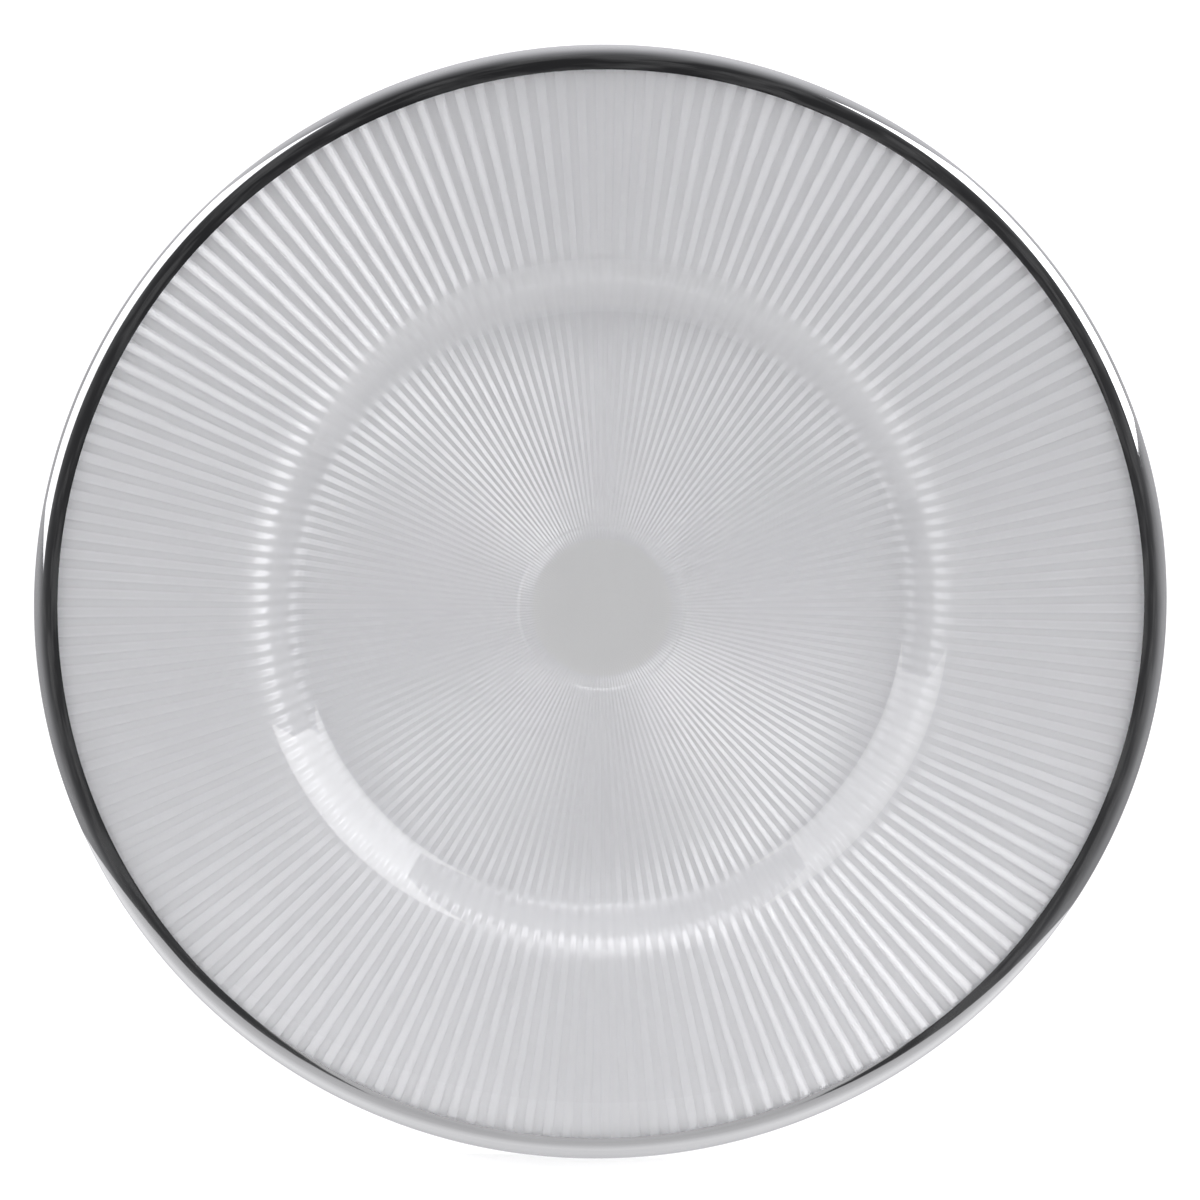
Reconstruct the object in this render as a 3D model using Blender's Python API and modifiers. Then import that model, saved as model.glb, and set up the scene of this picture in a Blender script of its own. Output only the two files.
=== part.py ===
"""A round ribbed glass charger plate with a pearl lacquered back and a silvered rim, in metres, +Z up.

The clear glass is smooth on top. Its underside carries radial pleats, pressed as raised ribs that run from
a smooth disc at the centre, over the flat pad of the well, the wall and the flange, to the rim. Pearl lacquer
covers the pleats, of the pad that the plate stands on and of the wall and flange that lift clear of the table.
The edge rolls off under a silver band.
"""

import math

import bmesh
import bpy
from mathutils import Vector

# Driving dimensions of the plate
PLATE_RADIUS = 0.165
GLASS_THICKNESS = 0.0045
WELL_RADIUS = 0.0891
WELL_BEND = 0.0095
WALL_RISE = 0.0096
WALL_ANGLE = math.radians(32)
FLANGE_BEND = 0.0185
FLANGE_ANGLE = math.radians(1.5)

# The pleats under the glass
RIB_COUNT = 170
RIB_ANGLE = math.radians(14)
RIB_BEVEL = 0.0015
DISC_RADIUS = 0.020
DISC_FLARE = 0.0015
PAD_INSET = 0.0011

# The silver band and the roll-off of the rim under it
BAND_WIDTH = 0.007
BAND_COVER = 0.0012
ROLL_DROP = 0.0033
ROLL_FULLNESS = 2.6

# The lacquer and the silver, with the film gap that keeps each clear of the glass
COAT_THICKNESS = 0.0004
SILVER_THICKNESS = 0.0004
FILM_GAP = 0.0003

# How finely the round forms are cut
BEND_STEPS = 2
ROLL_STEPS = 4
TURN_STEPS = 2
SMOOTH_SEGMENTS = RIB_COUNT // 2
SHARP_ANGLE = math.radians(20)
MERGE_DISTANCE = 0.00001

# A film shifted along the plate's normal by this much more keeps its gap square to the sloping pleats
PLEAT_STRETCH = 1 / math.cos(RIB_ANGLE)
COAT_TOP = FILM_GAP * PLEAT_STRETCH
COAT_BACK = (FILM_GAP + COAT_THICKNESS) * PLEAT_STRETCH


def rib_depth(radius):
    """Height of a rib above its valley, which grows outwards so that the facets keep one angle."""
    return math.tan(RIB_ANGLE) * math.pi * radius / RIB_COUNT


def offset_line(line, distances):
    """Move the points of a section line downwards, square to its pieces and mitred at its corners."""
    normals = []
    for start, end in zip(line, line[1:]):
        run = (end - start).normalized()
        normals.append(Vector((run.y, -run.x)))
    moved = []
    for index, point in enumerate(line):
        before = normals[max(index - 1, 0)]
        after = normals[min(index, len(normals) - 1)]
        mitre = (before + after) / (1 + before.dot(after))
        moved.append(point + mitre * distances[index])
    return moved


def fillet(corner, before, after, radius, steps):
    """Replace a corner of a section line with an arc that touches both sides, at most to their middles."""
    towards_start = (before - corner).normalized()
    towards_end = (after - corner).normalized()
    half_angle = towards_start.angle(towards_end) / 2
    room = min((before - corner).length, (after - corner).length) / 2
    radius = min(radius, room * math.tan(half_angle))
    bisector = (towards_start + towards_end).normalized()
    centre = corner + bisector * radius / math.sin(half_angle)
    first = corner + towards_start * radius / math.tan(half_angle) - centre
    last = corner + towards_end * radius / math.tan(half_angle) - centre
    turn = first.angle_signed(last)
    points = []
    for step in range(steps + 1):
        angle = -turn * step / steps
        cosine, sine = math.cos(angle), math.sin(angle)
        points.append(centre + Vector((first.x * cosine - first.y * sine, first.x * sine + first.y * cosine)))
    return points


# Radii of the pad and of the rim
PAD_RADIUS = WELL_RADIUS - PAD_INSET
GLASS_RADIUS = PLATE_RADIUS - FILM_GAP - SILVER_THICKNESS
BAND_INNER = PLATE_RADIUS - BAND_WIDTH
RIB_END = BAND_INNER + BAND_COVER

# Heights: the lacquered disc and the lacquered ribs at the edge of the pad stand on the table together
DISC_DROP = rib_depth(PAD_RADIUS)
WELL_UNDERSIDE = COAT_BACK + DISC_DROP
WELL_TOP = WELL_UNDERSIDE + GLASS_THICKNESS
WELL_CORNER = Vector((WELL_RADIUS, WELL_TOP))
FLANGE_CORNER = WELL_CORNER + Vector((WALL_RISE / math.tan(WALL_ANGLE), WALL_RISE))


def on_flange(radius):
    """Point of the flange's top line at a radius."""
    return Vector((radius, FLANGE_CORNER.y + (radius - FLANGE_CORNER.x) * math.tan(FLANGE_ANGLE)))


# The rim's roll-off runs from the flange down to the outline, and a small turn leads on to the underside
ROLL_START = on_flange(BAND_INNER)
ROLL_WIDTH = GLASS_RADIUS - BAND_INNER
TURN_RADIUS = GLASS_THICKNESS - ROLL_DROP - ROLL_WIDTH * math.tan(FLANGE_ANGLE)


def ring(bm, point, count):
    """A closed loop of vertices at one radius and height."""
    vertices = []
    for index in range(count):
        angle = 2 * math.pi * index / count
        vertices.append(bm.verts.new((point.x * math.cos(angle), point.x * math.sin(angle), point.y)))
    for start, end in zip(vertices, vertices[1:] + vertices[:1]):
        bm.edges.new((start, end))
    return vertices


def pleated_ring(bm, valley, crest):
    """A closed zigzag loop whose vertices lie in turn on the valleys and on the crests of the ribs."""
    vertices = []
    for index in range(2 * RIB_COUNT):
        angle = math.pi * index / RIB_COUNT
        point = crest if index % 2 else valley
        vertices.append(bm.verts.new((point.x * math.cos(angle), point.x * math.sin(angle), point.y)))
    for start, end in zip(vertices, vertices[1:] + vertices[:1]):
        bm.edges.new((start, end))
    return vertices


def loop_edges(loop):
    """The edges between neighbouring vertices of a closed loop."""
    edges = []
    for start, end in zip(loop, loop[1:] + loop[:1]):
        edges.append(next(edge for edge in start.link_edges if edge.other_vert(start) is end))
    return edges


def loft(bm, loops):
    """Join each loop to the next with a band of faces."""
    for lower, upper in zip(loops, loops[1:]):
        bmesh.ops.bridge_loops(bm, edges=loop_edges(lower) + loop_edges(upper))


def bevelled_rib_ends(bm, loop):
    """Close the end of each rib with a bevelled facet, and return the plain loop that is left."""
    valleys = loop[0::2]
    crests = loop[1::2]
    for valley, crest, following in zip(valleys, crests, valleys[1:] + valleys[:1]):
        bm.faces.new((valley, crest, following))
    return valleys


def cap(bm, loop):
    """Fill a plain loop with one flat face."""
    bm.faces.new(loop)


def disc_loops(bm, depth):
    """The smooth disc at a depth under the valleys: its filled edge, and the flare where the pleats start."""
    height = WELL_UNDERSIDE - depth
    start = DISC_RADIUS + DISC_FLARE
    disc = ring(bm, Vector((DISC_RADIUS, height - DISC_DROP)), SMOOTH_SEGMENTS)
    cap(bm, disc)
    return [disc, pleated_ring(bm, Vector((start, height)), Vector((start, height - rib_depth(start))))]


def rim_loops(bm, depth, parting):
    """Pleats at a depth under the valleys: their start on the wall, the bend of the flange and their end."""
    top = [WELL_CORNER, FLANGE_CORNER, on_flange(RIB_END)]
    _, bend, end = offset_line(top, [GLASS_THICKNESS] * len(top))
    pad_edge = Vector((PAD_RADIUS, WELL_UNDERSIDE))
    start = pad_edge + (bend - pad_edge).normalized() * parting
    valley_line = [start, bend, end]
    crest_line = [start, bend, end + (bend - end).normalized() * RIB_BEVEL]
    valleys = offset_line(valley_line, [depth] * len(valley_line))
    crests = offset_line(crest_line, [depth + rib_depth(point.x) for point in crest_line])
    return [pleated_ring(bm, valley, crest) for valley, crest in zip(valleys, crests)]


def rim_line(distance):
    """Section of the rim from the flange over the roll-off to the underside, at a distance outside the glass."""
    power = 2 / ROLL_FULLNESS
    points = []
    for step in range(ROLL_STEPS + 1):
        angle = math.pi / 2 * step / ROLL_STEPS
        across, up = math.sin(angle) ** power, math.cos(angle) ** power
        place = ROLL_START + Vector((ROLL_WIDTH * across, ROLL_DROP * (up - 1)))
        steepness = ROLL_FULLNESS - 1
        outwards = Vector((across ** steepness / ROLL_WIDTH, up ** steepness / ROLL_DROP)).normalized()
        points.append(place + outwards * distance)
    centre = ROLL_START + Vector((ROLL_WIDTH - TURN_RADIUS, -ROLL_DROP))
    for step in range(1, TURN_STEPS + 1):
        angle = -math.pi / 2 * step / TURN_STEPS
        points.append(centre + Vector((math.cos(angle), math.sin(angle))) * (TURN_RADIUS + distance))
    return points


def build_glass(bm):
    """The pressed glass: pleated underside, rolled edge and smooth dished top."""
    underside = [*disc_loops(bm, 0), *rim_loops(bm, 0, 0)]
    loft(bm, underside)
    well_bend = fillet(WELL_CORNER, Vector((0, WELL_TOP)), FLANGE_CORNER, WELL_BEND, BEND_STEPS)
    flange_bend = fillet(FLANGE_CORNER, WELL_CORNER, ROLL_START, FLANGE_BEND, BEND_STEPS)
    section = [*well_bend, *flange_bend, *rim_line(0)]
    top = [ring(bm, point, SMOOTH_SEGMENTS) for point in section]
    loft(bm, [*top, bevelled_rib_ends(bm, underside[-1])])
    cap(bm, top[0])


def build_well_coat(bm):
    """Pearl lacquer over the disc and the pleats of the pad."""
    edges = []
    for depth in (COAT_TOP, COAT_BACK):
        valley = Vector((PAD_RADIUS, WELL_UNDERSIDE - depth))
        edges.append(pleated_ring(bm, valley, valley - Vector((0, rib_depth(PAD_RADIUS)))))
        loft(bm, [*disc_loops(bm, depth), edges[-1]])
    loft(bm, edges)


def build_rim_coat(bm):
    """Pearl lacquer over the pleats of the wall and the flange, parted from the pad's at its edge."""
    starts, ends = [], []
    for depth in (COAT_TOP, COAT_BACK):
        loops = rim_loops(bm, depth, FILM_GAP)
        loft(bm, loops)
        starts.append(loops[0])
        ends.append(bevelled_rib_ends(bm, loops[-1]))
    loft(bm, starts)
    loft(bm, ends)


def build_silver_section(bm):
    """Closed section of the silver film, down its outer side and back up along the glass."""
    section = [*rim_line(FILM_GAP + SILVER_THICKNESS), *reversed(rim_line(FILM_GAP))]
    vertices = [bm.verts.new((point.x, 0, point.y)) for point in section]
    for start, end in zip(vertices, vertices[1:] + vertices[:1]):
        bm.edges.new((start, end))


def turn_section(part):
    """Turn a part's section about the plate's axis."""
    screw = part.modifiers.new("turn", "SCREW")
    screw.steps = SMOOTH_SEGMENTS
    screw.render_steps = SMOOTH_SEGMENTS
    screw.use_merge_vertices = True
    screw.merge_threshold = MERGE_DISTANCE


def finish_material(name, colour, roughness, metallic=0.0, transmission=0.0):
    """A plain surface finish."""
    material = bpy.data.materials.new(name)
    material.use_nodes = True
    shader = material.node_tree.nodes["Principled BSDF"]
    shader.inputs["Base Color"].default_value = (*colour, 1.0)
    shader.inputs["Roughness"].default_value = roughness
    shader.inputs["Metallic"].default_value = metallic
    shader.inputs["Transmission Weight"].default_value = transmission
    return material


def add_part(collection, name, build, material):
    """Model one sub-part in its own mesh and place it in the collection."""
    bm = bmesh.new()
    build(bm)
    bmesh.ops.recalc_face_normals(bm, faces=bm.faces)
    mesh = bpy.data.meshes.new(name)
    bm.to_mesh(mesh)
    bm.free()
    mesh.shade_smooth()
    mesh.set_sharp_from_angle(angle=SHARP_ANGLE)
    mesh.materials.append(material)
    part = bpy.data.objects.new(name, mesh)
    collection.objects.link(part)
    return part


def main():
    """Clear the scene and model the plate."""
    for old in list(bpy.data.objects):
        bpy.data.objects.remove(old)
    plate = bpy.data.collections.new("ribbed_glass_plate")
    bpy.context.scene.collection.children.link(plate)
    clear_glass = finish_material("clear_pressed_glass", (0.93, 0.96, 0.96), 0.03, transmission=1.0)
    pearl = finish_material("pearl_lacquer", (0.72, 0.73, 0.76), 0.35, metallic=0.3)
    silver = finish_material("burnished_silver", (0.86, 0.86, 0.87), 0.08, metallic=1.0)
    add_part(plate, "glass_plate", build_glass, clear_glass)
    add_part(plate, "pearl_coat_well", build_well_coat, pearl)
    add_part(plate, "pearl_coat_rim", build_rim_coat, pearl)
    turn_section(add_part(plate, "silver_rim_band", build_silver_section, silver))


main()
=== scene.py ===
"""Looks of a ribbed glass charger plate with a pearl lacquered back and a silvered rim.

Each sub-assembly replaces its plain CAD node with a finer mesh in the same place: the pressed glass
with its smooth dished top, the pearl lacquer that follows the ribs under it, and the silver film round
the rim.
"""

import logging
import math
from dataclasses import dataclass, field, replace
from enum import Enum
from typing import Any

import bmesh
import bpy
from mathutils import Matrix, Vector


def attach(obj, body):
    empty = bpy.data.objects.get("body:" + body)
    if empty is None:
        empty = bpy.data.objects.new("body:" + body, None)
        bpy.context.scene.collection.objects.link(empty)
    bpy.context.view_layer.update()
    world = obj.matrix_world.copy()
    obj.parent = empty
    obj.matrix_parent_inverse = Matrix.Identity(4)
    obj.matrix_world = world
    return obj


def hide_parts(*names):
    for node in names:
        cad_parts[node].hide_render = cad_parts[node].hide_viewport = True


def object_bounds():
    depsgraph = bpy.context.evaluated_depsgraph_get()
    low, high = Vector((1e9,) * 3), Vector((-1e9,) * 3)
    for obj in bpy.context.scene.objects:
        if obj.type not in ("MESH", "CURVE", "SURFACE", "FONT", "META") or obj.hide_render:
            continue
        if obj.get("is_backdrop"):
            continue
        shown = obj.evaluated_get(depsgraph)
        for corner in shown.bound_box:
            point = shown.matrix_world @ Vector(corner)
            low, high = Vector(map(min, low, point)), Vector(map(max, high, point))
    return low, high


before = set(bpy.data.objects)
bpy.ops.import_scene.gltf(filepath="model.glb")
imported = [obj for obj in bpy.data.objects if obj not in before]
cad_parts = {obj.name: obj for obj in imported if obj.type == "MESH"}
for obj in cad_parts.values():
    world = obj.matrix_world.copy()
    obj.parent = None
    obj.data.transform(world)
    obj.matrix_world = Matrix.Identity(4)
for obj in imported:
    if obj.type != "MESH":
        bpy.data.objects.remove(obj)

LOG = logging.getLogger("charger_plate")
# Body of the frame that every piece rides on
BODY = "root"
# Side of the photograph in pixels
PHOTO_SIDE = 1200
# Points that lie nearer to each other than this, in metres, are one point
MERGE_DISTANCE = 0.000002
# Share of a step that counts as the whole step, against rounding
NEARLY = 0.99
FULL_TURN = 2 * math.pi
# Numbers of the two colour inputs and of the colour output of a Mix node
MIX_FIRST, MIX_SECOND, MIX_RESULT = 6, 7, 2

Colour = tuple[float, float, float, float]


class Slot(Enum):
    """Material slots of the record; the pieces here do not take their finish from them."""

    GLASS = "clear_glass"
    PEARL = "pearl_lacquer"
    SILVER = "burnished_silver"


def linear(hex_colour: str) -> Colour:
    """Turn an sRGB hex colour into linear light.

    Args:
        hex_colour: colour such as "#D8DADE".

    Returns:
        Linear red, green, blue and an alpha of one.
    """
    # The standard sRGB curve, with its straight foot
    channels = [int(hex_colour[start:start + 2], 16) / 255 for start in (1, 3, 5)]
    red, green, blue = (c / 12.92 if c <= 0.04045 else ((c + 0.055) / 1.055) ** 2.4 for c in channels)
    return red, green, blue, 1.0


def add_node(tree: bpy.types.NodeTree, kind: str, settings: dict[str, Any] | None = None,
             inputs: dict[str | int, Any] | None = None) -> bpy.types.Node:
    """Add a shader node with its settings, and with its inputs set or linked.

    Args:
        tree: node tree that gets the node.
        kind: type of the node.
        settings: properties of the node by name.
        inputs: values or output sockets by the name or number of the input.

    Returns:
        The new node.
    """
    node = tree.nodes.new(kind)
    for name, value in (settings or {}).items():
        setattr(node, name, value)
    for name, value in (inputs or {}).items():
        if isinstance(value, bpy.types.NodeSocket):
            tree.links.new(value, node.inputs[name])
        else:
            node.inputs[name].default_value = value
    return node


def add_ramp(tree: bpy.types.NodeTree, factor: bpy.types.NodeSocket,
             stops: tuple[tuple[float, str], ...]) -> bpy.types.NodeSocket:
    """Add a colour ramp.

    Args:
        tree: node tree that gets the ramp.
        factor: output socket that drives it.
        stops: places along the ramp and their sRGB hex colours.

    Returns:
        The ramp's colour socket.
    """
    ramp = add_node(tree, "ShaderNodeValToRGB", None, {0: factor})
    elements = ramp.color_ramp.elements
    elements.remove(elements[1])
    for index, (stop, colour) in enumerate(stops):
        element = elements.new(stop) if index else elements[0]
        element.position = stop
        element.color = linear(colour)
    return ramp.outputs["Color"]


def new_material(name: str) -> tuple[bpy.types.Material, bpy.types.NodeTree, bpy.types.Node]:
    """Make an empty node material.

    Args:
        name: name of the material.

    Returns:
        The material, its node tree and its output node.
    """
    material = bpy.data.materials.new(name)
    material.use_nodes = True
    tree = material.node_tree
    tree.nodes.clear()
    return material, tree, add_node(tree, "ShaderNodeOutputMaterial")


@dataclass(frozen=True)
class PressedGlass:
    """Clear soda-lime glass, pressed in a mould and fire polished.

    It gives the eye sharp mirror images of the lamps, and the ribs under it look raised.

    Args:
        tint: colour of the glass.
        ior: its refractive index.
        ripple_size: width of a ripple in metres.
        ripple_height: height of a ripple in metres.
        ripple_detail: layers of finer ripples.
    """

    tint: str = "#FFFFFF"
    ior: float = 1.52
    ripple_size: float = 0.022
    ripple_height: float = 0.000004
    ripple_detail: float = 1.0

    def material(self) -> bpy.types.Material:
        """Build the glass.

        Returns:
            The material.
        """
        material, tree, output = new_material("clear_pressed_glass")
        place = add_node(tree, "ShaderNodeTexCoord")
        # The slow ripple of the mould bends the edges of the mirrored lamps
        ripple = add_node(tree, "ShaderNodeTexNoise", None,
                          {"Vector": place.outputs["Object"], "Scale": 1 / self.ripple_size,
                           "Detail": self.ripple_detail})
        bump = add_node(tree, "ShaderNodeBump", None,
                        {"Height": ripple.outputs["Fac"], "Distance": self.ripple_height,
                         "Strength": 1.0})
        shader = add_node(tree, "ShaderNodeBsdfPrincipled", None,
                          {"Base Color": linear(self.tint), "Roughness": 0.0, "IOR": self.ior,
                           "Transmission Weight": 1.0, "Normal": bump.outputs["Normal"]})
        tree.links.new(shader.outputs["BSDF"], output.inputs["Surface"])
        return material


@dataclass(frozen=True)
class PearlLacquer:
    """Sprayed lacquer with mica flakes.

    It gives the eye a pale satin ground, with a broad pearly sheen on the facets that face a lamp.

    Args:
        ground: colour between the flakes.
        flake: colour of the flakes.
        plain: painted shade, a faint warm tint that dulls the smooth disc in the middle for the tone the
            light gives it.
        plain_radius: radius in metres that this tint reaches to.
        sheen: share of the surface that shines as the flakes do.
        plain_sheen: the same share on the disc.
        roughness: how broad the sheen is.
        gloss: share of clear lacquer over the flakes.
        gloss_roughness: how broad the gloss of the clear lacquer is.
        gloss_ior: refractive index of the clear lacquer.
        flake_size: size of a flake in metres.
        flake_detail: layers of finer flakes.
    """

    ground: str = "#FBFBFE"
    flake: str = "#FEFEFF"
    # painted shade on the smooth disc: a faint warm tint
    plain: str = "#FFFFFD"
    plain_radius: float = 0.0205
    sheen: float = 0.24
    plain_sheen: float = 0.17
    roughness: float = 0.35
    gloss: float = 0.12
    gloss_roughness: float = 0.1
    gloss_ior: float = 1.5
    flake_size: float = 0.0006
    flake_detail: float = 2.0

    def material(self) -> bpy.types.Material:
        """Build the lacquer.

        Returns:
            The material.
        """
        material, tree, output = new_material("sprayed_pearl_lacquer")
        place = add_node(tree, "ShaderNodeTexCoord")
        # Real flakes are too fine to show, so they are as coarse as the picture needs
        grain = add_node(tree, "ShaderNodeTexNoise", None,
                         {"Vector": place.outputs["Object"], "Scale": 1 / self.flake_size,
                          "Detail": self.flake_detail})
        pearl = add_node(tree, "ShaderNodeMix", {"data_type": "RGBA"},
                         {"Factor": grain.outputs["Fac"], MIX_FIRST: linear(self.ground),
                          MIX_SECOND: linear(self.flake)})
        # Painted shade: a faint warm tint dulls the smooth disc, and the disc also shines less than the
        # ribs round it
        radius = add_node(tree, "ShaderNodeVectorMath", {"operation": "LENGTH"},
                          {0: place.outputs["Object"]})
        inside = add_node(tree, "ShaderNodeMath", {"operation": "LESS_THAN"},
                          {0: radius.outputs["Value"], 1: self.plain_radius})
        colour = add_node(tree, "ShaderNodeMix", {"data_type": "RGBA", "blend_type": "MULTIPLY"},
                          {"Factor": inside.outputs[0], MIX_FIRST: pearl.outputs[MIX_RESULT],
                           MIX_SECOND: linear(self.plain)})
        sheen = add_node(tree, "ShaderNodeMath", {"operation": "MULTIPLY_ADD"},
                         {0: inside.outputs[0], 1: self.plain_sheen - self.sheen, 2: self.sheen})
        shader = add_node(tree, "ShaderNodeBsdfPrincipled", None,
                          {"Base Color": colour.outputs[MIX_RESULT], "Roughness": self.roughness,
                           "Metallic": sheen.outputs[0], "Specular IOR Level": 0.0,
                           "Coat Weight": self.gloss, "Coat Roughness": self.gloss_roughness,
                           "Coat IOR": self.gloss_ior})
        tree.links.new(shader.outputs["BSDF"], output.inputs["Surface"])
        return material


@dataclass(frozen=True)
class BurnishedSilver:
    """Bright silver film, fired on and burnished.

    It gives the eye a mirror of the dim room, and a thin haze lifts it in long light strokes.

    Args:
        colour: colour of the silver.
        roughness: how soft the mirror is.
        haze_ior: refractive index of the haze.
        haze_roughness: how far the haze scatters light.
        haze_start: height of the streaks at which the haze begins.
        haze_full: height of the streaks at which the haze is full.
        streaks_round: number of streaks in one radian of the rim.
        streak_width: width of a streak in metres.
        streak_detail: layers of finer streaks.
        streak_roughness: how strong the finer streaks are.
        wave_height: height of the marks that burnishing leaves in metres.
    """

    colour: str = "#C6C6C8"
    roughness: float = 0.04
    haze_ior: float = 1.6
    haze_roughness: float = 0.6
    haze_start: float = 0.45
    haze_full: float = 0.6
    streaks_round: float = 5.0
    streak_width: float = 0.0015
    streak_detail: float = 3.0
    streak_roughness: float = 0.6
    wave_height: float = 0.000003

    def streaks(self, tree: bpy.types.NodeTree) -> bpy.types.NodeSocket:
        """Add the noise of the streaks, long round the rim and narrow across it.

        Args:
            tree: node tree that gets the noise.

        Returns:
            The noise's height socket.
        """
        place = add_node(tree, "ShaderNodeTexCoord")
        flat = add_node(tree, "ShaderNodeVectorMath", {"operation": "MULTIPLY"},
                        {0: place.outputs["Object"], 1: (1, 1, 0)}).outputs["Vector"]
        radius = add_node(tree, "ShaderNodeVectorMath", {"operation": "LENGTH"}, {0: flat})
        heading = add_node(tree, "ShaderNodeVectorMath", {"operation": "NORMALIZE"}, {0: flat})
        along = add_node(tree, "ShaderNodeVectorMath", {"operation": "SCALE"},
                         {0: heading.outputs["Vector"], "Scale": self.streaks_round})
        across = add_node(tree, "ShaderNodeMath", {"operation": "DIVIDE"},
                          {0: radius.outputs["Value"], 1: self.streak_width})
        lift = add_node(tree, "ShaderNodeCombineXYZ", None, {"Z": across.outputs[0]})
        strokes = add_node(tree, "ShaderNodeVectorMath", {"operation": "ADD"},
                           {0: along.outputs["Vector"], 1: lift.outputs["Vector"]})
        streak = add_node(tree, "ShaderNodeTexNoise", None,
                          {"Vector": strokes.outputs["Vector"], "Scale": 1.0,
                           "Detail": self.streak_detail, "Roughness": self.streak_roughness})
        return streak.outputs["Fac"]

    def material(self) -> bpy.types.Material:
        """Build the silver.

        Returns:
            The material.
        """
        material, tree, output = new_material("burnished_silver_film")
        streak = self.streaks(tree)
        # The haze lies on the high streaks only, so that the mirror stays clear between them
        haze = add_node(tree, "ShaderNodeMapRange", None,
                        {"Value": streak, "From Min": self.haze_start, "From Max": self.haze_full})
        bump = add_node(tree, "ShaderNodeBump", None,
                        {"Height": streak, "Distance": self.wave_height, "Strength": 1.0})
        shader = add_node(tree, "ShaderNodeBsdfPrincipled", None,
                          {"Base Color": linear(self.colour), "Roughness": self.roughness,
                           "Metallic": 1.0, "Normal": bump.outputs["Normal"],
                           "Coat Weight": haze.outputs["Result"],
                           "Coat Roughness": self.haze_roughness, "Coat IOR": self.haze_ior})
        tree.links.new(shader.outputs["BSDF"], output.inputs["Surface"])
        return material


@dataclass(frozen=True)
class StudioFloor:
    """Matt white paper of the studio floor.

    It gives the eye a white ground that keeps the plate's soft shadow.

    Args:
        colour: colour of the paper.
        roughness: how matt it is.
        glow: light of its own where it is looked at or mirrored.
    """

    colour: str = "#F6F6F6"
    roughness: float = 0.9
    glow: float = 0.5

    def material(self) -> bpy.types.Material:
        """Build the paper.

        Returns:
            The material.
        """
        material, tree, output = new_material("matt_white_paper")
        path = add_node(tree, "ShaderNodeLightPath")
        seen = add_node(tree, "ShaderNodeMath", {"operation": "ADD"},
                        {0: path.outputs["Is Camera Ray"], 1: path.outputs["Is Glossy Ray"]})
        shown = add_node(tree, "ShaderNodeMath", {"operation": "ADD", "use_clamp": True},
                         {0: seen.outputs[0], 1: path.outputs["Is Transmission Ray"]})
        glow = add_node(tree, "ShaderNodeMath", {"operation": "MULTIPLY"},
                        {0: shown.outputs[0], 1: self.glow})
        shader = add_node(tree, "ShaderNodeBsdfPrincipled", None,
                          {"Base Color": linear(self.colour), "Roughness": self.roughness,
                           "Specular IOR Level": 0.0, "Emission Color": linear("#FFFFFF"),
                           "Emission Strength": glow.outputs[0]})
        tree.links.new(shader.outputs["BSDF"], output.inputs["Surface"])
        return material


@dataclass(frozen=True)
class SectionPoint:
    """One point of a section line.

    Args:
        place: radius and height.
        down: direction square to the line that leads out of the plate's underside.
        rib: depth of the ribs there.
        soft: how round the ribs are, from crisp facets at nought to a soft wave at one.
    """

    place: Vector
    down: Vector
    rib: float = 0.0
    soft: float = 0.0

    def shifted(self, distance: float) -> "SectionPoint":
        """The point moved down, square to the line."""
        return SectionPoint(self.place + self.down * distance, self.down, self.rib, self.soft)


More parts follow.
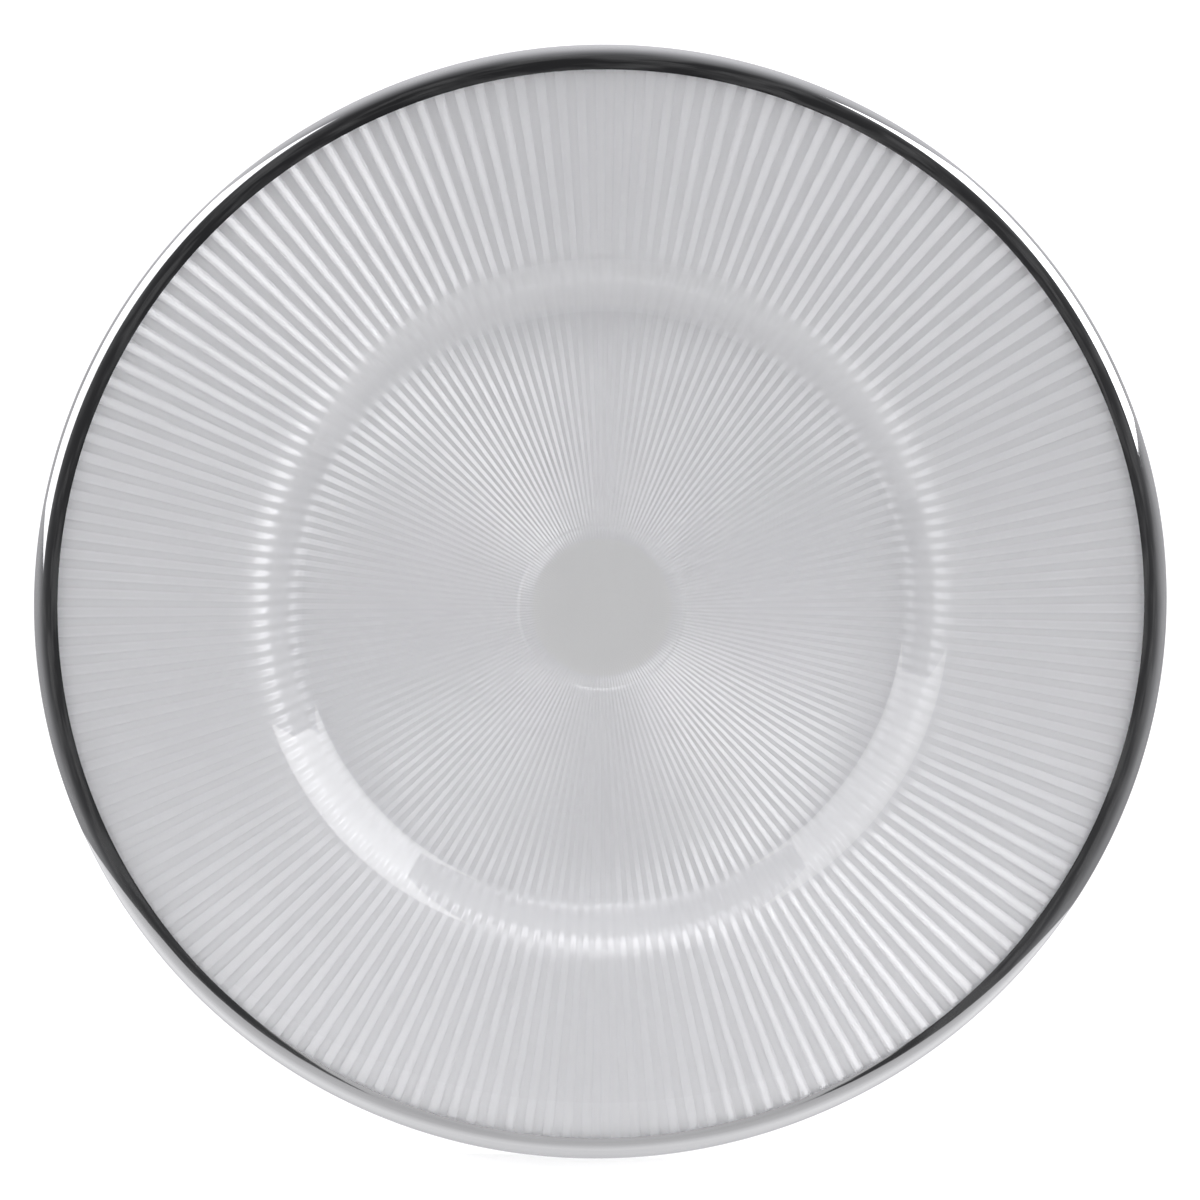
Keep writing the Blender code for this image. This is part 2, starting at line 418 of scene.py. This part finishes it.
@dataclass(frozen=True)
class PlateSection:
    """Driving sizes of the plate, in metres and radians, and the section lines that they give.

    Args:
        radius: radius of the outline.
        glass: thickness of the glass.
        rim_glass: thickness of the glass where the ribs end.
        pad_radius: radius of the flat pad that the plate stands on.
        pad_angle: slope of the bend where the pad's edge cuts it.
        pad_step: width of that edge.
        well_bend: radius of the bend from the well to the wall.
        wall_angle: slope of the wall's top.
        wall_steeper: how much steeper the wall's underside is before it is drawn out.
        wall_rise: height of the wall with its bends.
        flange_bend: radius of the bend from the wall to the flange.
        flange_angle: slope of the flange.
        band_width: width of the silver.
        lacquer_under: share of the silver's width that the lacquer covers from below.
        roll_angle: slope at the outer end of the rolled rim.
        roll_power: how late the rim rolls down.
        edge_round: radius of the rounded edge.
        edge_under: how far the edge turns under.
        rib_count: number of ribs.
        rib_angle: slope from the valley to the crest of a rib.
        rib_tip: half width of a rib's rounded tip.
        rib_tip_share: largest share of the pitch that such a half takes.
        rib_edge: share of the pitch over which a facet is steeper beside a tip.
        rib_edge_steepness: how much steeper it is there.
        wall_ribs: share of the ribs' depth on the steepest part of the wall.
        disc_radius: radius of the smooth disc in the middle.
        collar: width of the collar round the disc.
        collar_ramp: width over which the collar rises from the disc.
        collar_step: width of the step from the collar to the well.
        collar_drop: height of that step.
        collar_lip: width over which the shading of that step fades at both its edges.
        collar_ribs: share of the ribs' depth in the collar.
        film: thickness of the lacquer.
        disc_steps: steps of the mesh across the disc.
        well_steps: steps of the mesh across the well.
        flange_steps: steps of the mesh across the flange.
        bend_steps: steps of the mesh in a bend.
        rim_steps: steps of the mesh down the rolled rim.
        rim_turn: steps of the mesh round the edge.
    """

    radius: float
    glass: float = 0.0045
    rim_glass: float = 0.0024
    pad_radius: float = 0.0878
    pad_angle: float = math.radians(8)
    pad_step: float = 0.00035
    well_bend: float = 0.006
    wall_angle: float = math.radians(36)
    wall_steeper: float = math.radians(9)
    wall_rise: float = 0.0095
    flange_bend: float = 0.017
    flange_angle: float = math.radians(1.5)
    band_width: float = 0.007
    lacquer_under: float = 0.7
    roll_angle: float = math.radians(39)
    roll_power: float = 3.0
    edge_round: float = 0.0004
    edge_under: float = math.radians(60)
    rib_count: int = 170
    rib_angle: float = math.radians(17.5)
    rib_tip: float = 0.00009
    rib_tip_share: float = 0.07
    rib_edge: float = 0.1
    rib_edge_steepness: float = 1.5
    wall_ribs: float = 0.35
    disc_radius: float = 0.020
    collar: float = 0.0042
    collar_ramp: float = 0.0015
    collar_step: float = 0.0007
    collar_drop: float = 0.00028
    collar_lip: float = 0.00015
    collar_ribs: float = 0.85
    film: float = 0.0003
    disc_steps: int = 2
    well_steps: int = 4
    flange_steps: int = 3
    bend_steps: int = 10
    rim_steps: int = 16
    rim_turn: int = 6

    def rib_depth(self, radius: float) -> float:
        """Depth of the ribs at a radius, which grows outwards so that the facets keep one angle."""
        return math.tan(self.rib_angle) * math.pi * radius / self.rib_count

    def rib_profile(self, radius: float, soft: float) -> list[tuple[float, float]]:
        """Profile of one rib: two facets, a little steeper towards their edges, between round tips.

        Args:
            radius: radius at which the rib is cut, because the tips have one width all along it.
            soft: share of a soft wave in the profile.

        Returns:
            For each column of the mesh, the share of the pitch and the share of the depth.
        """
        # The crest lies half a pitch from the valley
        crest = 0.5
        tip = min(self.rib_tip * self.rib_count / (FULL_TURN * radius), self.rib_tip_share)
        edge = tip + self.rib_edge
        middle = 1 / (crest + 2 * edge * (self.rib_edge_steepness - 1))
        slope = middle * self.rib_edge_steepness
        half = [(0.0, slope * tip / 2), (tip, slope * tip), (edge, slope * edge),
                (crest - edge, 1 - slope * edge), (crest - tip, 1 - slope * tip)]
        crisp = half + [(share + crest, 1 - drop) for share, drop in half]
        count = len(crisp)
        wave = [(column / count, (1 - math.cos(FULL_TURN * column / count)) / 2)
                for column in range(count)]
        return [(a + (b - a) * soft, c + (d - c) * soft) for (a, c), (b, d) in zip(crisp, wave)]

    @property
    def well_underside(self) -> float:
        """Height of the rib valleys of the well, with the lacquered crests on the table."""
        return self.film + self.rib_depth(self.pad_radius)

    @property
    def well_top(self) -> float:
        """Height of the smooth top of the well."""
        return self.well_underside + self.glass

    @property
    def band_inner(self) -> float:
        """Radius of the inner edge of the silver."""
        return self.radius - self.band_width

    @property
    def rib_end(self) -> float:
        """Radius where the ribs end under the silver."""
        return self.band_inner + self.band_width * self.lacquer_under

    @property
    def bend_start(self) -> float:
        """Radius at which the well begins to bend up."""
        bend = self.well_bend + self.glass
        return self.pad_radius + self.pad_step - bend * math.sin(self.pad_angle)

    @staticmethod
    def down(angle: float) -> Vector:
        """Direction out of the underside of a line that climbs at an angle."""
        return Vector((math.sin(angle), -math.cos(angle)))

    def wall_line(self, steps: int) -> list[SectionPoint]:
        """Top line of the wall: the bend of the well, the straight wall and the bend of the flange.

        Args:
            steps: number of steps in each bend.

        Returns:
            The points from the well outwards.
        """
        centre = Vector((self.bend_start, self.well_top + self.well_bend))
        points = []
        for step in range(steps + 1):
            down = self.down(self.wall_angle * step / steps)
            points.append(SectionPoint(centre + down * self.well_bend, down))
        turn_in = self.well_bend * (1 - math.cos(self.wall_angle))
        turn_out = self.flange_bend * (math.cos(self.flange_angle) - math.cos(self.wall_angle))
        straight = (self.wall_rise - turn_in - turn_out) / math.sin(self.wall_angle)
        steepest = self.down(self.wall_angle)
        top = points[-1].place + Vector((-steepest.y, steepest.x)) * straight
        centre = top + steepest * self.flange_bend
        for step in range(steps + 1):
            down = self.down(self.wall_angle + (self.flange_angle - self.wall_angle) * step / steps)
            points.append(SectionPoint(centre - down * self.flange_bend, down))
        return points

    def on_flange(self, radius: float) -> SectionPoint:
        """Point of the flange's top line.

        Args:
            radius: radius of the point.

        Returns:
            The point, which the line holds also beyond the flange's ends.
        """
        end = self.wall_line(1)[-1].place
        height = end.y + (radius - end.x) * math.tan(self.flange_angle)
        return SectionPoint(Vector((radius, height)), self.down(self.flange_angle))

    def top_line(self) -> list[SectionPoint]:
        """Smooth top of the glass from the axis to the inner edge of the silver.

        Returns:
            The points from the axis outwards.
        """
        radii = [self.bend_start * step / self.well_steps for step in range(self.well_steps)]
        well = [SectionPoint(Vector((radius, self.well_top)), self.down(0)) for radius in radii]
        wall = self.wall_line(2 * self.bend_steps)
        end = wall[-1].place.x
        flange = [self.on_flange(end + (self.band_inner - end) * step / self.flange_steps)
                  for step in range(1, self.flange_steps + 1)]
        return [*well, *wall, *flange]

    def rim_line(self, inset: float) -> list[SectionPoint]:
        """Rounded rim from the inner edge of the silver down to the outline and round to the underside.

        Args:
            inset: distance inside the outer face of the silver.

        Returns:
            The points from the top round to the underside.
        """
        start = self.on_flange(self.band_inner).place
        width = self.band_width - self.edge_round * (1 - math.sin(self.roll_angle))
        steepest = math.tan(self.roll_angle)
        points = []
        for step in range(1, self.rim_steps + 1):
            share = math.sin(math.pi / 2 * step / self.rim_steps)
            drop = steepest * width * share ** (self.roll_power + 1) / (self.roll_power + 1)
            place = start + Vector((width * share, -drop))
            out = Vector((steepest * share ** self.roll_power, 1)).normalized()
            points.append(SectionPoint(place - out * inset, -out))
        centre = place - out * self.edge_round
        first = math.pi / 2 - self.roll_angle
        for step in range(1, self.rim_turn + 1):
            angle = first - (first + self.edge_under) * step / self.rim_turn
            out = Vector((math.cos(angle), math.sin(angle)))
            points.append(SectionPoint(centre + out * (self.edge_round - inset), -out))
        return points

    def under_disc(self) -> list[SectionPoint]:
        """Underside of the smooth disc and of the collar round it.

        Returns:
            The points from the axis to the collar's outer edge.
        """
        flat = self.down(0)
        disc = self.well_underside - self.rib_depth(self.pad_radius)
        collar = self.well_underside - self.collar_drop
        edge = self.disc_radius + self.collar
        points = [SectionPoint(Vector((self.disc_radius * step / self.disc_steps, disc)), flat)
                  for step in range(self.disc_steps + 1)]
        for radius in (self.disc_radius + self.collar_ramp, edge - self.collar_lip, edge):
            rib = self.rib_depth(radius) * self.collar_ribs
            points.append(SectionPoint(Vector((radius, collar)), flat, rib))
        return points

    def under_well(self) -> list[SectionPoint]:
        """Rib valleys of the well.

        Returns:
            The points from the top of the collar's step to the edge of the pad.
        """
        step_top = self.disc_radius + self.collar + self.collar_step
        start = step_top + self.collar_lip
        radii = [step_top, *(start + (self.pad_radius - start) * step / self.well_steps
                             for step in range(self.well_steps + 1))]
        return [SectionPoint(Vector((radius, self.well_underside)), self.down(0), self.rib_depth(radius))
                for radius in radii]

    def under_wall(self, steps: int) -> list[SectionPoint]:
        """Rib valleys of the wall, on a line steeper than its top that is drawn out to the same run.

        Args:
            steps: number of steps in each bend.

        Returns:
            The points from the pad's edge outwards.
        """
        steepest = self.wall_angle + self.wall_steeper
        line = replace(self, wall_angle=steepest).wall_line(steps)
        start = self.bend_start
        stretch = (self.wall_line(1)[-1].place.x - start) / (line[-1].place.x - start)
        points = []
        for point in line:
            place = Vector((start + (point.place.x - start) * stretch, point.place.y))
            under = replace(point, place=place).shifted(self.glass)
            if under.place.x >= self.pad_radius + self.pad_step * NEARLY:
                steep = math.atan2(point.down.x, -point.down.y) / steepest
                rib = self.rib_depth(under.place.x) * (1 - (1 - self.wall_ribs) * steep ** 2)
                points.append(replace(under, rib=rib, soft=steep))
        return points

    def under_flange(self, start: float) -> list[SectionPoint]:
        """Rib valleys of the flange, whose glass grows thinner towards the rim.

        Args:
            start: radius at which the wall ends.

        Returns:
            The points from the wall to the end of the ribs.
        """
        points = []
        for step in range(self.flange_steps + 1):
            radius = start + (self.rib_end - start) * step / self.flange_steps
            thickness = self.glass + (self.rim_glass - self.glass) * step / self.flange_steps
            under = self.on_flange(radius).shifted(thickness)
            points.append(replace(under, rib=self.rib_depth(under.place.x)))
        return points

    def valley_line(self, steps: int) -> list[SectionPoint]:
        """Line of the rib valleys under the glass from the axis out to the end of the ribs.

        Args:
            steps: number of steps in each bend.

        Returns:
            The points from the axis outwards, with the depth of the ribs at each.
        """
        wall = self.under_wall(steps)
        flange = self.under_flange(wall.pop().place.x)
        return [*self.under_disc(), *self.under_well(), *wall, *flange]


class Turning:
    """A bmesh turned from section lines about the plate's axis, with its ribs drawn out."""

    # The turn is made of equal sectors: the first is turned and the others repeat it
    SECTORS = 17
    # Columns of the mesh across one rib, on ribbed faces and on plain ones
    FINE = 10
    PLAIN = 2
    # Angle from which an edge is drawn crisp, along the facets of a rib and elsewhere
    CRISP_EDGE = math.radians(3)
    ROUND_EDGE = math.radians(28)
    # Share of a soft wave from which a rib has no crisp facets
    SOFT_RIB = 0.5

    def __init__(self, section: PlateSection) -> None:
        """Start an empty mesh.

        Args:
            section: section lines that the mesh is turned from.
        """
        self.section = section
        self.bm = bmesh.new()
        layers = self.bm.verts.layers
        self.rib = layers.float.new("rib")
        self.soft = layers.float.new("soft")
        self.down = layers.float_vector.new("down")

    def turn(self, points: list[SectionPoint], per_rib: int, closed: bool = False) -> None:
        """Turn a line of points about the axis and draw out its ribs.

        Args:
            points: the section line.
            per_rib: columns of the mesh in the width of one rib.
            closed: whether the ends of the line are joined.
        """
        counts = [len(self.bm.verts), len(self.bm.edges), len(self.bm.faces)]
        verts = []
        for point in points:
            vert = self.bm.verts.new((point.place.x, 0, point.place.y))
            vert[self.rib], vert[self.soft] = point.rib, point.soft
            vert[self.down] = (point.down.x, 0, point.down.y)
            verts.append(vert)
        ends = zip(verts, verts[1:] + verts[:1]) if closed else zip(verts, verts[1:])
        edges = [self.bm.edges.new(pair) for pair in ends]
        sector = FULL_TURN / self.SECTORS
        columns = self.section.rib_count * per_rib
        bmesh.ops.spin(self.bm, geom=verts + edges, cent=(0, 0, 0), axis=(0, 0, 1), angle=sector,
                       steps=columns // self.SECTORS, use_merge=False, use_duplicate=False)
        made = []
        for elements, count in zip((self.bm.verts, self.bm.edges, self.bm.faces), counts):
            elements.ensure_lookup_table()
            made += elements[count:]
        bmesh.ops.spin(self.bm, geom=made, cent=(0, 0, 0), axis=(0, 0, 1), angle=FULL_TURN - sector,
                       steps=self.SECTORS - 1, use_merge=False, use_duplicate=True)
        self.bm.verts.ensure_lookup_table()
        self.pleat(self.bm.verts[counts[0]:], per_rib)

    def pleat(self, verts: list[bmesh.types.BMVert], per_rib: int) -> None:
        """Draw the ribs out of turned vertices, facet by facet.

        Args:
            verts: vertices of one turned line.
            per_rib: columns of the mesh in the width of one rib.
        """
        pitch = FULL_TURN / self.section.rib_count
        stride = self.FINE // per_rib
        profiles: dict[tuple[float, float], list[tuple[float, float]]] = {}
        for vert in verts:
            depth, soft = vert[self.rib], vert[self.soft]
            if depth <= 0:
                continue
            radius = math.hypot(vert.co.x, vert.co.y)
            key = (round(radius, 6), round(soft, 4))
            if key not in profiles:
                profiles[key] = self.section.rib_profile(radius, soft)
            column = round((math.atan2(vert.co.y, vert.co.x) % FULL_TURN) / pitch * per_rib)
            share, drop = profiles[key][column % per_rib * stride]
            angle = (column // per_rib + share) * pitch
            radius += vert[self.down].x * drop * depth
            height = vert.co.z + vert[self.down].z * drop * depth
            vert.co = (radius * math.cos(angle), radius * math.sin(angle), height)

    def on_facet(self, edge: bmesh.types.BMEdge) -> bool:
        """Tell whether an edge runs outwards along the crisp facets of a rib.

        Args:
            edge: edge of the mesh.

        Returns:
            True where its facets meet in a crisp edge.
        """
        start, end = edge.verts
        ribbed = min(start[self.rib], end[self.rib]) > 0
        crisp = max(start[self.soft], end[self.soft]) < self.SOFT_RIB
        outward = math.hypot(end.co.x, end.co.y) - math.hypot(start.co.x, start.co.y)
        return ribbed and crisp and math.hypot(outward, end.co.z - start.co.z) > edge.calc_length() / 2

    def to_piece(self, name: str, material: bpy.types.Material) -> bpy.types.Object:
        """Close the seams, keep the facets crisp and make the piece.

        Args:
            name: name of the piece.
            material: its finish.

        Returns:
            The new object.
        """
        bm = self.bm
        bmesh.ops.remove_doubles(bm, verts=bm.verts, dist=MERGE_DISTANCE)
        open_edges = [edge for edge in bm.edges if edge.is_boundary]
        if open_edges:
            bmesh.ops.bridge_loops(bm, edges=open_edges)
        bmesh.ops.recalc_face_normals(bm, faces=bm.faces)
        for face in bm.faces:
            face.smooth = True
        for edge in bm.edges:
            limit = self.CRISP_EDGE if self.on_facet(edge) else self.ROUND_EDGE
            edge.smooth = edge.calc_face_angle(0.0) < limit
        mesh = bpy.data.meshes.new(name)
        bm.to_mesh(mesh)
        bm.free()
        for layer in ("rib", "soft", "down"):
            mesh.attributes.remove(mesh.attributes[layer])
        mesh.materials.append(material)
        piece = bpy.data.objects.new(name, mesh)
        bpy.context.scene.collection.objects.link(piece)
        return piece


@dataclass
class GlassPlate:
    """The pressed glass, smooth on top and ribbed underneath.

    Args:
        section: section lines of the plate.
        finish: the glass.
        silver_seat: how far the glass lies under the outer face of the silver.
    """

    section: PlateSection
    finish: PressedGlass = field(default_factory=PressedGlass)
    silver_seat: float = 0.0001

    def build(self) -> bpy.types.Object:
        """Turn the smooth top and the ribbed underside, and close the glass at the rim.

        Returns:
            The piece.
        """
        turning = Turning(self.section)
        top = [*self.section.top_line(), *self.section.rim_line(self.silver_seat)]
        turning.turn(top, turning.PLAIN)
        turning.turn(self.section.valley_line(self.section.bend_steps), turning.FINE)
        return turning.to_piece("pressed_glass_plate", self.finish.material())

    def dress(self) -> bpy.types.Object:
        """Build the glass, hang it on the frame's body and hide its CAD node.

        Returns:
            The piece.
        """
        piece = self.build()
        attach(piece, BODY)
        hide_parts("glass_plate")
        return piece


@dataclass
class PearlCoat:
    """The pearl lacquer on the ribs, in contact with the glass.

    Args:
        section: section lines of the plate.
        finish: the lacquer.
        contact: how far its face lies inside the glass, so that no air shows between them.
    """

    section: PlateSection
    finish: PearlLacquer = field(default_factory=PearlLacquer)
    contact: float = 0.00002

    def build(self) -> bpy.types.Object:
        """Turn the lacquer's face against the glass and its plainer back.

        Returns:
            The piece.
        """
        turning = Turning(self.section)
        face = self.section.valley_line(self.section.bend_steps)
        back = self.section.valley_line(self.section.bend_steps // 2)
        turning.turn([point.shifted(-self.contact) for point in face], turning.FINE)
        turning.turn([point.shifted(self.section.film) for point in back], turning.PLAIN)
        return turning.to_piece("pearl_lacquer_coat", self.finish.material())

    def dress(self) -> bpy.types.Object:
        """Build the lacquer, hang it on the frame's body and hide its CAD nodes.

        Returns:
            The piece.
        """
        piece = self.build()
        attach(piece, BODY)
        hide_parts("pearl_coat_well", "pearl_coat_rim")
        return piece


@dataclass
class SilverBand:
    """The silver film over the rounded rim.

    Args:
        section: section lines of the plate.
        finish: the silver.
        film: thickness of the film.
        proud: how far the film's inner edge stands above the glass.
    """

    section: PlateSection
    finish: BurnishedSilver = field(default_factory=BurnishedSilver)
    film: float = 0.00008
    proud: float = 0.00002

    def build(self) -> bpy.types.Object:
        """Turn the film from its outer and inner lines.

        Returns:
            The piece.
        """
        turning = Turning(self.section)
        edge = self.section.on_flange(self.section.band_inner)
        outer = [edge.shifted(-self.proud), *self.section.rim_line(0)]
        inner = [edge.shifted(0), *self.section.rim_line(self.film)]
        turning.turn([*outer, *reversed(inner)], 2 * turning.PLAIN, closed=True)
        return turning.to_piece("silver_rim_film", self.finish.material())

    def dress(self) -> bpy.types.Object:
        """Build the film, hang it on the frame's body and hide its CAD node.

        Returns:
            The piece.
        """
        piece = self.build()
        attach(piece, BODY)
        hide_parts("silver_rim_band")
        return piece


def direction(azimuth: float, off_axis: float) -> Vector:
    """Unit vector at an azimuth and an angle off the plate's axis, both in degrees."""
    turn, tilt = math.radians(azimuth), math.radians(off_axis)
    return Vector((math.sin(tilt) * math.cos(turn), math.sin(tilt) * math.sin(turn), math.cos(tilt)))


def hang_lamp(name: str, width: float, height: float, place: Vector, facing: Vector) -> bpy.types.Light:
    """Hang a rectangular lamp that shines with a radiance of one.

    Args:
        name: name of the lamp.
        width: its width in metres.
        height: its height in metres.
        place: where its middle hangs.
        facing: direction in which it shines.

    Returns:
        The lamp, ready for its colour and strength.
    """
    lamp = bpy.data.lights.new(name, "AREA")
    lamp.shape = "RECTANGLE"
    lamp.size = width
    lamp.size_y = height
    lamp.energy = width * height * math.pi
    holder = bpy.data.objects.new(name, lamp)
    holder.location = place
    holder.rotation_euler = facing.to_track_quat("-Z", "Y").to_euler()
    bpy.context.scene.collection.objects.link(holder)
    return lamp


@dataclass(frozen=True)
class Softbox:
    """A soft rectangular lamp that faces the plate.

    Args:
        name: name of the lamp.
        azimuth: where it stands round the plate in degrees.
        off_axis: its angle from the plate's axis in degrees.
        across: angle in degrees that its width fills.
        upright: angle in degrees that its height fills.
        radiance: how bright its face is.
        colour: colour of its light.
        distance: distance from the plate in metres.
    """

    name: str
    azimuth: float
    off_axis: float
    across: float
    upright: float
    radiance: float
    colour: str = "#FEFEFF"
    distance: float = 2.2

    def place(self) -> None:
        """Hang the lamp and aim it at the plate."""
        towards = direction(self.azimuth, self.off_axis)
        width, height = (2 * self.distance * math.tan(math.radians(angle / 2))
                         for angle in (self.across, self.upright))
        lamp = hang_lamp(self.name, width, height, towards * self.distance, -towards)
        lamp.energy *= self.radiance
        lamp.color = linear(self.colour)[:3]


@dataclass(frozen=True)
class PaleBoard:
    """A pale board that leans away beside the plate and is palest a little above its foot.

    Args:
        side: where it stands round the plate in degrees.
        lean: how far it leans outwards in degrees.
        foot: distance of its foot from the plate's axis.
        along: how far it is pushed along its own width, clockwise round the plate.
        width: width in metres.
        height: height in metres.
        tones: share of the height and grey of the board there, to which the room behind it adds its own.
    """

    side: float = 268
    lean: float = 16.6
    foot: float = 0.1685
    along: float = 0.02
    width: float = 0.56
    height: float = 1.2
    tones: tuple[tuple[float, str], ...] = ((0.012, "#B4B4B4"), (0.017, "#CCCCCC"), (0.025, "#E4E4E4"),
                                            (0.045, "#F9F9F9"), (0.08, "#ECECEC"), (0.15, "#D6D6D6"),
                                            (0.5, "#CCCCCC"))

    def place(self) -> None:
        """Stand the board beside the plate and grade its light."""
        outward = direction(self.side, 90)
        rise = direction(self.side, self.lean)
        facing = direction(self.side + 180, 90 - self.lean)
        sideways = direction(self.side - 90, 90)
        middle = outward * self.foot + sideways * self.along + rise * self.height / 2
        lamp = hang_lamp("pale_board", self.width, self.height, middle, facing)
        lamp.use_nodes = True
        tree = lamp.node_tree
        surface = add_node(tree, "ShaderNodeNewGeometry")
        height = add_node(tree, "ShaderNodeSeparateXYZ", None, {0: surface.outputs["Parametric"]})
        tone = add_ramp(tree, height.outputs["Y"], self.tones)
        tree.links.new(tone, tree.nodes["Emission"].inputs["Color"])


@dataclass(frozen=True)
class DimRoom:
    """The dim room round the plate, which the silver mirrors.

    Args:
        greys: height of a direction, from nought at the horizon to one straight up, and its grey.
        glow: grey that is added towards the camera's side.
        glow_start: how far towards that side, from nought to one, the glow begins.
        board_shade: share of the grey that is left towards the board's side.
        board_shade_end: how far towards that side, from nought to one, the shade is full.
    """

    greys: tuple[tuple[float, str], ...] = ((0.0, "#D8D8D9"), (0.3, "#CFCFD0"), (0.42, "#C9C9CA"),
                                            (0.6, "#BBBBBC"), (0.74, "#A0A0A1"), (0.86, "#7A7A7B"),
                                            (0.93, "#575758"), (1.0, "#343435"))
    glow: str = "#B4B4B6"
    glow_start: float = 0.2
    board_shade: float = 0.6
    board_shade_end: float = 0.6

    def place(self) -> None:
        """Make the room the scene's world."""
        world = bpy.data.worlds.new("dim_room")
        world.use_nodes = True
        tree = world.node_tree
        place = add_node(tree, "ShaderNodeTexCoord")
        heading = add_node(tree, "ShaderNodeSeparateXYZ", None, {0: place.outputs["Generated"]})
        grey = add_ramp(tree, heading.outputs["Z"], self.greys)
        glow = add_ramp(tree, heading.outputs["Y"], ((self.glow_start, "#000000"), (1.0, self.glow)))
        shade = add_node(tree, "ShaderNodeMapRange", None,
                         {"Value": heading.outputs["Y"], "From Min": -self.board_shade_end,
                          "From Max": 0.0, "To Min": self.board_shade, "To Max": 1.0})
        shaded = add_node(tree, "ShaderNodeVectorMath", {"operation": "SCALE"},
                          {0: grey, "Scale": shade.outputs["Result"]})
        both = add_node(tree, "ShaderNodeVectorMath", {"operation": "ADD"},
                        {0: shaded.outputs["Vector"], 1: glow})
        tree.links.new(both.outputs["Vector"], tree.nodes["Background"].inputs["Color"])
        bpy.context.scene.world = world


@dataclass
class Studio:
    """Floor, lamps, dim room and camera.

    Args:
        section: section lines of the plate.
        right: strong lamp, whose light the facets catch.
        left: weaker lamp on the other side.
        board: pale board at the plate's edge.
        room: dim room round it all.
        tilt: angle of the view off the plate's axis in degrees.
        near_side: azimuth in degrees from which the camera looks.
        distance: distance of the camera in metres.
        centre: pixel of the photograph that shows the plate's middle.
        outline: radius of the outline in pixels of the photograph.
        sensor: width of the camera's sensor in millimetres.
        floor_radius: radius of the floor in metres.
        floor_segments: number of sides of the floor.
    """

    section: PlateSection
    right: Softbox = Softbox("right_softbox", azimuth=26, off_axis=46, across=31, upright=35,
                             radiance=4.0)
    left: Softbox = Softbox("left_softbox", azimuth=158, off_axis=46, across=39, upright=35,
                            radiance=2.0)
    board: PaleBoard = PaleBoard()
    room: DimRoom = DimRoom()
    tilt: float = 10.88
    near_side: float = 102.9
    distance: float = 1.25
    centre: tuple[float, float] = (601.7, 607.7)
    outline: float = 567.0
    sensor: float = 36.0
    floor_radius: float = 6.0
    floor_segments: int = 96

    def floor(self) -> None:
        """Lay the paper floor under the plate."""
        bm = bmesh.new()
        bmesh.ops.create_circle(bm, cap_ends=True, cap_tris=False, segments=self.floor_segments,
                                radius=self.floor_radius)
        mesh = bpy.data.meshes.new("studio_floor")
        bm.to_mesh(mesh)
        bm.free()
        mesh.materials.append(StudioFloor().material())
        floor = bpy.data.objects.new("studio_floor", mesh)
        bpy.context.scene.collection.objects.link(floor)
        floor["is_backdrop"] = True

    def camera(self) -> None:
        """Stand the camera where the photo was taken from, aimed at the ribs as the glass shows them."""
        towards = direction(self.near_side, self.tilt)
        raised = self.section.glass * (1 - 1 / PressedGlass.ior)
        target = Vector((0, 0, self.section.well_underside + raised))
        rim = max(self.section.rim_line(0), key=lambda point: point.place.x).place.y
        nearer = (rim - target.z) * math.cos(math.radians(self.tilt))
        pixels = self.outline / self.section.radius * (self.distance - nearer)
        lens = bpy.data.cameras.new("camera")
        lens.sensor_width = self.sensor
        lens.lens = pixels * lens.sensor_width / PHOTO_SIDE
        lens.shift_x = (PHOTO_SIDE / 2 - self.centre[0]) / PHOTO_SIDE
        lens.shift_y = (self.centre[1] - PHOTO_SIDE / 2) / PHOTO_SIDE
        camera = bpy.data.objects.new("camera", lens)
        camera.location = target + towards * self.distance
        camera.rotation_euler = Vector((0, 0, 1)).rotation_difference(towards).to_euler()
        bpy.context.scene.collection.objects.link(camera)
        bpy.context.scene.camera = camera

    def build(self) -> None:
        """Set up the whole studio."""
        self.floor()
        for light in (self.right, self.left, self.board, self.room):
            light.place()
        self.camera()
        bpy.context.scene.view_settings.view_transform = "Standard"


def main() -> None:
    """Build the plate's pieces and the studio in order."""
    logging.basicConfig(level=logging.INFO)
    cad_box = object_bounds()
    radius = min(abs(side) for corner in cad_box for side in corner[:2])
    section = PlateSection(radius=radius)
    for part in (GlassPlate(section), PearlCoat(section), SilverBand(section)):
        piece = part.dress()
        LOG.info("%s: %d faces", piece.name, len(piece.data.polygons))
    Studio(section).build()


if __name__ == "__main__":
    main()
